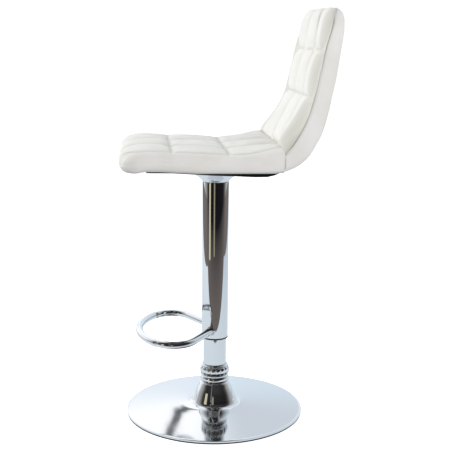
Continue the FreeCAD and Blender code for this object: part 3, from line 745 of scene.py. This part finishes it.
# blows the skin up against its stitched lines; hold is each point's grip, 1 on a seam
def settleLeather(points, faces, hold, name):
    mesh = bpy.data.meshes.new(name)
    mesh.from_pydata([tuple(p) for p in points], [], faces)
    skin = bpy.data.objects.new(name, mesh)
    scene.collection.objects.link(skin)
    group = skin.vertex_groups.new(name="hold")
    for level in sorted(set(np.round(hold, 2))):
        chosen = [int(i) for i in np.nonzero(np.round(hold, 2) == level)[0]]
        group.add(chosen, float(level), "REPLACE")
    cloth = skin.modifiers.new("cloth", "CLOTH")
    settings = cloth.settings
    settings.quality = 5
    settings.mass = clothLook["mass"]
    settings.tension_stiffness = clothLook["stiffness"]
    settings.compression_stiffness = clothLook["stiffness"]
    settings.shear_stiffness = clothLook["stiffness"] * 0.4
    settings.bending_stiffness = clothLook["bending"]
    settings.use_pressure = True
    settings.uniform_pressure_force = clothLook["pressure"]
    settings.shrink_min = clothLook["slack"]
    settings.vertex_group_mass = "hold"
    settings.pin_stiffness = 1.0
    settings.effector_weights.gravity = 0.0
    cloth.collision_settings.use_collision = False
    cloth.point_cache.frame_start = 1
    cloth.point_cache.frame_end = clothLook["frames"]
    for number in range(1, clothLook["frames"] + 1):
        scene.frame_set(number)
    graph = bpy.context.evaluated_depsgraph_get()
    settled = skin.evaluated_get(graph).to_mesh()
    moved = np.array([v.co for v in settled.vertices])
    skin.evaluated_get(graph).to_mesh_clear()
    scene.frame_set(1)
    bpy.data.objects.remove(skin)
    step = moved - points
    size = np.linalg.norm(step, axis=1, keepdims=True)
    mean, most = float(size.mean()) / mm, float(size.max()) / mm
    print(name, "moved", round(mean, 2), "mm, most", round(most, 2))
    return points + step * np.minimum(1.0, clothLook["cap"] / np.maximum(size, 1e-9))


# joins grids (each (rows, columns, 3) in mm) into one list of points and faces
def joinGrids(grids):
    points, faces = [], []
    for grid in grids:
        rows, columns = grid.shape[:2]
        faces += gridFaces(rows, columns, len(points))
        points += [tuple(p) for p in grid.reshape(-1, 3)]
    return np.array(points) * mm, faces


# how deep and how wide each kind of seam is pressed in, in mm
seamLook = {
    "seatLengthwise": (2.0, 2.2), "seatCross": (0.6, 1.6), "seatBorder": (0.4, 1.2),
    "crease": (1.2, 2.0), "backQuilting": (0.8, 1.4), "edge": (0.8, 1.3),
}


# presses narrow stitched lines into a piece and marks how deep each point lies in them, as painted
# shade for the leather
def pressSeams(piece, lines, kind):
    depth, width = (size * mm for size in seamLook[kind])
    spots = [Vector(point) for line in lines for point in line]
    tree = KDTree(len(spots))
    for number, spot in enumerate(spots):
        tree.insert(spot, number)
    tree.balance()
    mesh = piece.data
    shade = mesh.attributes.get("seamShade") or mesh.attributes.new("seamShade", "FLOAT", "POINT")
    normals = [v.normal.copy() for v in mesh.vertices]
    for vertex, normal in zip(mesh.vertices, normals):
        distance = tree.find(vertex.co)[2]
        pull = math.exp(-(distance / width) ** 2)
        vertex.co -= normal * depth * pull
        # painted shade: points near a seam are marked to be coloured darker
        fade = math.exp(-(distance / (2.2 * width)) ** 2)
        shade.data[vertex.index].value = max(shade.data[vertex.index].value, fade)


def subdivide(piece, levels=1):
    smooth = piece.modifiers.new("smooth", "SUBSURF")
    smooth.levels = levels
    smooth.render_levels = levels
    graph = bpy.context.evaluated_depsgraph_get()
    finer = bpy.data.meshes.new_from_object(piece.evaluated_get(graph))
    piece.modifiers.clear()
    old = piece.data
    piece.data = finer
    bpy.data.meshes.remove(old)


def resample(line, step):
    line = np.array(line, float)
    run = np.concatenate([[0], np.cumsum(np.linalg.norm(np.diff(line, axis=0), axis=1))])
    count = max(2, int(run[-1] / step))
    want = np.linspace(0, run[-1], count + 1)
    return np.stack([np.interp(want, run, line[:, k]) for k in range(3)], 1)


# the nearest column to a place across, and the nearest row to a distance along
def columnAt(grid, x):
    return int(np.argmin(np.abs(grid[len(grid) // 2, :, 0] - x)))


def rowAt(run, value):
    return int(np.argmin(np.abs(run - value)))


# the quilting lines of a settled skin: two lengthwise, then one for each cross seam
def quiltingLines(skin, grid, run, seamX, seamRuns, first, last):
    lines = [skin[:, columnAt(grid, sign * seamX)] for sign in (-1, 1)]
    lines += [skin[rowAt(run, value), first:last + 1] for value in seamRuns]
    return [resample(line, lineStep) for line in lines]


def creaseLine(row):
    return [resample([p for p in row if abs(p[0]) < creaseShape["seamHalf"] * mm], lineStep)]


def makeSeatCushion():
    shape = seatShape
    spacing = shape["spacing"]
    face, edge, run = spacedRows(shape["top"], shape["topEdge"], spacing)
    widths = [seatHalfWidth(y) for y in edge[:, 0]]
    top = paddedFace(face, edge, widths, shape["roll"], spacing)
    normals = gridNormals(top)
    if normals[len(normals) // 2, normals.shape[1] // 2, 2] < 0:
        normals = -normals
    seamRuns = [float(np.interp(y, face[:, 0], run)) for y in shape["seamY"]]
    near, full = quilt(top, run, shape["seamX"], seamRuns, shape["borderX"])
    pull = np.exp(-(near / shape["grooveWidth"]) ** 2)
    top = top + normals * (full * shape["puff"] - pull * shape["groove"])[:, :, None]
    top = sweepCrease(top, run[-1] - run)
    # the underside, in the same rows as the top
    underFace, underEdge, _ = spacedRows(shape["under"], shape["underEdge"], spacing)
    underEdgeAt = np.stack([np.interp(edge[:, 0], underEdge[:, 0], underEdge[:, 1])], 1)
    underFaceAt = np.stack([np.interp(edge[:, 0], underFace[:, 0], underFace[:, 1])], 1)
    under = paddedFace(np.concatenate([edge[:, :1], underFaceAt], 1),
                       np.concatenate([edge[:, :1], underEdgeAt], 1),
                       widths, shape["underRoll"], spacing * 2, rollSteps=5)
    # a thin lip hangs down along the sides, growing in over a start and a length
    (lipX, overX), (lipY, overY) = shape["lipX"], shape["lipY"]
    lip = np.clip((np.abs(under[:, :, 0]) - lipX) / overX, 0, 1)
    lip *= np.clip((under[:, :, 1] - lipY) / overY, 0, 1)
    under[:, :, 2] -= shape["lipDrop"] * lip
    grids = [top, under[:, ::-1]]
    for column, sign in ((0, -1), (-1, 1)):
        a, b = top[:, column], under[:, column]
        wall = []
        for k in range(shape["wallSteps"] + 1):
            t = k / shape["wallSteps"]
            bulge = math.sin(math.pi * t) * shape["wallBulge"]
            wall.append(a + (b - a) * t + np.array([sign * bulge, 0, 0]))
        grids.append(np.stack(wall, 1))
    # the front wall under the nose and the hidden wall at the crease
    for row in (0, -1):
        a, b = top[row], under[row]
        below = np.stack([a[:, 0]] + [np.interp(a[:, 0], b[:, 0], b[:, k]) for k in (1, 2)], 1)
        grids.append(np.stack([a, (a + below) / 2, below], 0))
    points, faces = joinGrids(grids)
    count = top.shape[0] * top.shape[1]
    points[:count] = settleLeather(points[:count], gridFaces(*top.shape[:2]), gripOf(near),
                                   "seatTopSkin")
    piece = addPiece("seatCushion", points, faces, whitePuLeather, "seat_cushion", 60,
                     hardness=1.0)
    skin = points[:count].reshape(top.shape)
    first, last = columnAt(top, -shape["borderX"]), columnAt(top, shape["borderX"])
    lines = quiltingLines(skin, top, run, shape["seamX"], seamRuns, first, last)
    borders = [resample(skin[:, column], lineStep) for column in (first, last)]
    subdivide(piece)
    pressSeams(piece, lines[:2], "seatLengthwise")
    pressSeams(piece, lines[2:], "seatCross")
    pressSeams(piece, borders, "seatBorder")
    pressSeams(piece, creaseLine(skin[-1]), "crease")
    return piece, lines


def makeBackPieces():
    shape = backShape
    spacing = shape["spacing"]
    face, edge, run = spacedRows(shape["front"], shape["edge"], spacing)
    widths = [backHalfWidth(z) for z in edge[:, 1]]
    front = paddedFace(face, edge, widths, shape["roll"], spacing)
    normals = gridNormals(front)
    if normals[len(normals) // 2, normals.shape[1] // 2, 1] > 0:
        normals = -normals
    seamRuns = [float(np.interp(z, face[:, 1], run)) for z in shape["seamZ"]]
    near, full = quilt(front, run, shape["seamX"], seamRuns, shape["borderX"])
    # the back has no seam at its border, so nothing is pulled in there
    near = np.where(np.abs(np.abs(front[:, :, 0]) - shape["borderX"]) < 6, 99.0, near)
    pull = np.exp(-(near / shape["grooveWidth"]) ** 2)
    front = front + normals * (full * shape["puff"] - pull * shape["groove"])[:, :, None]
    front = sweepCrease(front, run)
    hidden = paddedFace(edge + np.array([3.0, 0.0]), edge, widths, shape["roll"], spacing)
    ends = [np.stack([front[row], hidden[row]], 0) for row in (0, -1)]
    points, faces = joinGrids([front, hidden[:, ::-1]] + ends)
    count = front.shape[0] * front.shape[1]
    points[:count] = settleLeather(points[:count], gridFaces(*front.shape[:2]), gripOf(near),
                                   "backFrontSkin")
    cushion = addPiece("backCushion", points, faces, whitePuLeather, "back_cushion",
                       60, hardness=1.0)
    skin = points[:count].reshape(front.shape)
    first, last = columnAt(front, -shape["seamEnd"]), columnAt(front, shape["seamEnd"])
    lines = quiltingLines(skin, front, run, shape["seamX"], seamRuns, first, last)
    sideLine = [resample(np.concatenate([skin[:, 0], skin[-1], skin[::-1, -1]]), lineStep)]
    subdivide(cushion)
    pressSeams(cushion, lines, "backQuilting")
    pressSeams(cushion, creaseLine(skin[0]), "crease")
    pressSeams(cushion, sideLine, "edge")
    # painted shade: the skin is made darker towards the sides of the shell, across the outer columns
    shade = cushion.data.attributes["seamShade"].data
    for vertex in cushion.data.vertices:
        paintedSideShade = shape["paintedSideShade"] * smoothly(abs(vertex.co.x) / mm, *shape["paintedSideShadeX"])
        shade[vertex.index].value = max(shade[vertex.index].value, paintedSideShade)

    rear, rearEdge, _ = spacedRows(shape["rear"], shape["rearEdge"], spacing)
    rearWidths = [backHalfWidth(z) for z in rearEdge[:, 1]]
    outer = paddedFace(rear, rearEdge, rearWidths, shape["rearRoll"], spacing)
    inner = paddedFace(rearEdge + np.array([2.0, 0.5]), rearEdge, rearWidths, shape["rearRoll"],
                       spacing)
    ends = [np.stack([outer[row], inner[row]], 0) for row in (0, -1)]
    points, faces = joinGrids([outer, inner[:, ::-1]] + ends)
    cover = addPiece("backCover", points, faces, whitePuLeather, "back_cover", 60,
                     hardness=1.0)
    # the short upright seam where the cover meets the seat's side, on each side
    uprights = [resample(outer[:, column][rearEdge[:, 1] <= shape["uprightTop"]] * mm, lineStep)
                for column in (0, -1)]
    subdivide(cover)
    pressSeams(cover, sideLine, "edge")
    pressSeams(cover, uprights, "edge")
    return cushion, lines


seatCushion, seatLines = makeSeatCushion()
print("seat cushion sewn")
backCushion, backLines = makeBackPieces()
print("back cushion and cover sewn")

stitchLook = {"pitch": 3.6 * mm, "length": 2.7 * mm, "thickness": 0.42 * mm, "lift": 0.15 * mm}


# one row of stitches as small spindles lying on a piece along a line
def layStitches(name, piece, lines, look):
    points, faces = [], []
    rings = [(-0.5, 0.2), (-0.3, 0.85), (0.0, 1.0), (0.3, 0.85), (0.5, 0.2)]
    sides = 6
    for line in lines:
        spots = resample(line, look["pitch"])
        for a, b in zip(spots, spots[1:]):
            along = Vector(b - a)
            if along.length < 0.5 * mm:
                continue
            along.normalize()
            hit, place, normal, _ = piece.closest_point_on_mesh(Vector((a + b) / 2))
            if not hit:
                continue
            side = along.cross(normal).normalized()
            up = side.cross(along)
            centre = place + normal * look["lift"]
            start = len(points)
            for offset, size in rings:
                for k in range(sides):
                    angle = 2 * math.pi * k / sides
                    out = side * math.cos(angle) + up * math.sin(angle)
                    points.append(centre + along * look["length"] * offset
                                  + out * look["thickness"] * size)
            for j in range(len(rings) - 1):
                for k in range(sides):
                    nextK = (k + 1) % sides
                    one = start + j * sides
                    faces.append((one + k, one + nextK, one + sides + nextK, one + sides + k))
            last = start + (len(rings) - 1) * sides
            faces.append(tuple(start + k for k in range(sides))[::-1])
            faces.append(tuple(last + k for k in range(sides)))
    return addPiece(name, points, faces, whiteThread, None, body="seat")


layStitches("seatStitches", seatCushion, seatLines, stitchLook)
layStitches("backStitches", backCushion, backLines, stitchLook)
print("seams stitched")

studio = {
    "floorHalf": 9.0, "floorGlow": 0.7, "sweepRadius": 8.8, "sweepGlow": 1.05,
    "worldAbove": 0.4, "worldLevel": 0.69, "worldBelow": 0.38,
    "cameraPlace": (1.9936, -0.1598, 0.8155), "cameraAim": (0.0, 0.0658, 0.4133), "lens": 75.81,
    "cameraRoll": 0.01266, "cameraShift": -0.0442,
    # softboxes: place, size in metres, power in watts and colour, all aimed at the seat
    "softboxes": {"softboxFront": ((-1.0, -2.6, 1.5), (1.6, 1.6), 54, "#FFFFFF"),
                  "softboxNear": ((2.3, 1.5, 1.3), (1.4, 1.8), 34, "#FBFAFF")},
    "softboxAim": (0, 0, 0.6),
}


def makeStage(name, points, faces, material):
    mesh = bpy.data.meshes.new(name)
    mesh.from_pydata(points, [], faces)
    mesh.materials.append(material)
    item = bpy.data.objects.new(name, mesh)
    scene.collection.objects.link(item)
    return item


def seenOnlyInChrome(item):
    item.visible_camera = False
    item.visible_diffuse = False
    item.visible_transmission = False
    item.visible_shadow = False
    item.visible_volume_scatter = False


def makeFloor():
    material, tree = newMaterial("palePaper")
    grain = addNode(tree, "ShaderNodeTexNoise", {"Scale": 180.0, "Detail": 2.0},
                    {"Vector": addNode(tree, "ShaderNodeTexCoord").outputs["Object"]})
    colour = addRamp(tree, grain.outputs["Fac"], {0.3: "#FBFBFB", 0.7: "#FFFFFF"})
    shader = addNode(tree, "ShaderNodeBsdfPrincipled",
                     {"Roughness": 0.9, "Emission Color": hexToLinear("#FFFFFF"),
                      "Emission Strength": studio["floorGlow"]},
                     {"Base Color": colour.outputs[0]})
    endMaterial(tree, shader)
    size = studio["floorHalf"]
    corners = [(-size, -size, 0), (size, -size, 0), (size, size, 0), (-size, size, 0)]
    floor = makeStage("paperFloor", corners, [(0, 1, 2, 3)], material)
    floor.visible_glossy = False
    floor.visible_diffuse = False


def domeGrid(radius, rings, around, lowest):
    points, faces = [], []
    for j in range(rings + 1):
        height = math.radians(90 - (90 - lowest) * j / rings)
        for i in range(around):
            angle = 2 * math.pi * i / around
            points.append((radius * math.cos(height) * math.cos(angle),
                           radius * math.cos(height) * math.sin(angle), radius * math.sin(height)))
    for j in range(rings):
        for i in range(around):
            a, b = j * around + i, j * around + (i + 1) % around
            faces.append((a, a + around, b + around, b))
    return points, faces


# the white sweep behind the stool, seen by the camera alone, so that it lights nothing
def makeWhiteSweep():
    material, tree = newMaterial("whiteSweep")
    endMaterial(tree, addNode(tree, "ShaderNodeEmission", {"Strength": studio["sweepGlow"]}))
    points, faces = domeGrid(studio["sweepRadius"], 10, 48, -1)
    sweep = makeStage("whiteSweep", points, faces, material)
    seenOnlyInChrome(sweep)
    sweep.visible_glossy = False
    sweep.visible_camera = True


room = {
    # walls as the chrome mirrors them: degrees round from +X towards +Y, then the colour low and high
    "walls": [(-180, "#FBFCFD", "#FAFBFC"), (-150, "#FDFDFD", "#F4F6F8"), (-120, "#E6EBEF", "#D6DCE1"),
              (-108, "#A8A9A7", "#B2B5B6"), (-90, "#8F8F8C", "#8A8A88"), (-74, "#3B3836", "#45423F"),
              (-60, "#1B1A1A", "#2E2C2B"), (0, "#141316", "#3A3837"), (60, "#1A191B", "#2E2C2C"),
              (74, "#45423F", "#45433F"), (90, "#908F8D", "#8C8B89"), (106, "#A7ABAD", "#A9AEB1"),
              (120, "#C6CED4", "#C2CBD2"), (150, "#D0DAE1", "#CDD7DE"), (180, "#FBFCFD", "#FAFBFC")],
    "wallLow": 8.0, "wallHigh": 40.0, "wallRadius": 6.0,
    # the paper the stool stands on, and the darker floor of the room beyond it
    "paperX": 0.43, "paperY": (-1.28, 1.53), "paperLeft": "#D8DFE4", "paperRight": "#BAC5CD",
    "floorNear": "#6E6763", "floorFar": "#16161C", "floorFarAt": 3.0,
    # upright boards in it: degrees round, distance, width, lowest and highest point, colour
    "boards": [(-53.0, 1.5, 0.36, 0.0, 0.66, "#C5BEA3"), (-14.0, 1.6, 0.3, 0.0, 0.6, "#8C836C"),
               (-24.5, 3.4, 0.16, 0.8, 3.2, "#8D9094"), (-177.3, 3.7, 0.08, 1.7, 3.1, "#30343B")],
    # the sweep behind the stool: brightest high on the left, bluish low and on the right
    "sweepX": -3.9, "sweepHalf": 1.3, "sweepHigh": 3.2,
    "sweepUp": (0.7, 2.0), "sweepAcross": (-0.05, 0.7),
    "sweep": ("#DCE4EC", "#FFFFFF", "#CDDAE3", "#C6CDD4"), "level": 1.34,
}


def blend(first, second, amount):
    return [a + (b - a) * amount for a, b in zip(first, second)]


def blendHex(first, second, amount):
    return blend(hexToLinear(first), hexToLinear(second), amount)


def sweepColour(y, z):
    leftLow, leftHigh, rightLow, rightHigh = room["sweep"]
    up, across = smoothly(z, *room["sweepUp"]), smoothly(y, *room["sweepAcross"])
    return blend(blendHex(leftLow, leftHigh, up), blendHex(rightLow, rightHigh, up), across)


# a glowing surface whose colour is given point by point, mirrored by the chrome and otherwise unseen
def makeMirroredSurface(name, points, faces, colours):
    material, tree = newMaterial(name)
    glow = addNode(tree, "ShaderNodeAttribute", {"attribute_name": "glow"})
    endMaterial(tree, addNode(tree, "ShaderNodeEmission", {"Strength": room["level"]},
                              {"Color": glow.outputs["Color"]}))
    item = makeStage(name, points, faces, material)
    layer = item.data.color_attributes.new("glow", "FLOAT_COLOR", "POINT")
    for i, colour in enumerate(colours):
        layer.data[i].color = colour
    seenOnlyInChrome(item)


def wallColour(point):
    x, y, z = point
    angle = math.degrees(math.atan2(y, x))
    lift = math.degrees(math.atan2(z, math.hypot(x, y)))
    high = min(1.0, max(0.0, (lift - room["wallLow"]) / (room["wallHigh"] - room["wallLow"])))
    for (a, lowA, highA), (b, lowB, highB) in zip(room["walls"], room["walls"][1:]):
        if a <= angle <= b:
            along = (angle - a) / (b - a)
            return blend(blendHex(lowA, lowB, along), blendHex(highA, highB, along), high)


def makeMirroredRoom():
    points, faces = domeGrid(room["wallRadius"], 24, 120, -1)
    makeMirroredSurface("mirroredWalls", points, faces, [wallColour(p) for p in points])
    reach = room["wallRadius"]
    (yLow, yHigh), edge = room["paperY"], room["paperX"]
    paper = [(-reach, yLow * 1.8, -0.001), (edge, yLow, -0.001), (edge, yHigh, -0.001),
             (-reach, yHigh * 1.8, -0.001)]
    left, right = hexToLinear(room["paperLeft"]), hexToLinear(room["paperRight"])
    makeMirroredSurface("mirroredPaper", paper, [(0, 1, 2, 3)], [left, left, right, right])
    rows, points, colours = 16, [], []
    for j in range(rows + 1):
        x = -reach + 2 * reach * j / rows
        away = min(1.0, max(0.0, (x - edge) / (room["floorFarAt"] - edge)))
        for y in (-reach, reach):
            points.append((x, y, -0.002))
            colours.append(blendHex(room["floorNear"], room["floorFar"], away ** 0.6))
    faces = [(2 * j, 2 * j + 2, 2 * j + 3, 2 * j + 1) for j in range(rows)]
    makeMirroredSurface("mirroredFloor", points, faces, colours)
    points, faces, colours = [], [], []
    for angle, distance, width, low, high, colour in room["boards"]:
        turn = math.radians(angle)
        centre = np.array([math.cos(turn), math.sin(turn)]) * distance
        side = np.array([-math.sin(turn), math.cos(turn)]) * width / 2
        start = len(points)
        for place, z in ((centre - side, low), (centre + side, low), (centre + side, high),
                         (centre - side, high)):
            points.append((place[0], place[1], z))
            colours.append(hexToLinear(colour))
        faces.append((start, start + 1, start + 2, start + 3))
    makeMirroredSurface("mirroredBoards", points, faces, colours)
    steps, points, colours = 40, [], []
    for j in range(steps + 1):
        z = room["sweepHigh"] * j / steps
        for i in range(steps + 1):
            y = room["sweepHalf"] * (2 * i / steps - 1)
            points.append((room["sweepX"], y, z))
            colours.append(sweepColour(y, z))
    makeMirroredSurface("mirroredSweep", points, gridFaces(steps + 1, steps + 1), colours)


def addSoftbox(name, place, size, power, hexColour):
    light = bpy.data.lights.new(name, "AREA")
    light.shape = "RECTANGLE"
    light.size, light.size_y = size
    light.energy = power
    light.color = hexToLinear(hexColour)[:3]
    lamp = bpy.data.objects.new(name, light)
    lamp.location = place
    toSeat = Vector(studio["softboxAim"]) - Vector(place)
    lamp.rotation_euler = toSeat.to_track_quat("-Z", "Y").to_euler()
    lamp.visible_camera = False
    lamp.visible_glossy = False      # the chrome mirrors the room instead
    scene.collection.objects.link(lamp)


def makeLightAndCamera():
    world = bpy.data.worlds.new("paleStudio")
    world.use_nodes = True
    tree = world.node_tree
    tree.nodes.clear()
    place = addNode(tree, "ShaderNodeTexCoord").outputs["Generated"]
    height = addNode(tree, "ShaderNodeSeparateXYZ", links={"Vector": place}).outputs["Z"]
    upward = addNode(tree, "ShaderNodeMapRange", {"From Min": -1.0, "From Max": 1.0},
                     {"Value": height})
    level = addRamp(tree, upward.outputs[0],
                    {0.35: studio["worldBelow"], 0.55: studio["worldLevel"],
                     0.9: studio["worldAbove"]})
    back = addNode(tree, "ShaderNodeBackground", {"Strength": 1.0}, {"Color": level.outputs[0]})
    addNode(tree, "ShaderNodeOutputWorld", links={"Surface": back.outputs[0]})
    scene.world = world
    for name, box in studio["softboxes"].items():
        addSoftbox(name, *box)
    camera = bpy.data.objects.new("camera", bpy.data.cameras.new("camera"))
    camera.data.lens = studio["lens"]
    camera.data.shift_x = studio["cameraShift"]
    camera.location = studio["cameraPlace"]
    look = Vector(studio["cameraAim"]) - Vector(studio["cameraPlace"])
    turn = look.to_track_quat("-Z", "Y") @ Quaternion((0, 0, 1), studio["cameraRoll"])
    camera.rotation_euler = turn.to_euler()
    scene.collection.objects.link(camera)
    scene.camera = camera


makeFloor()
makeWhiteSweep()
makeMirroredRoom()
makeLightAndCamera()
print("studio lit")
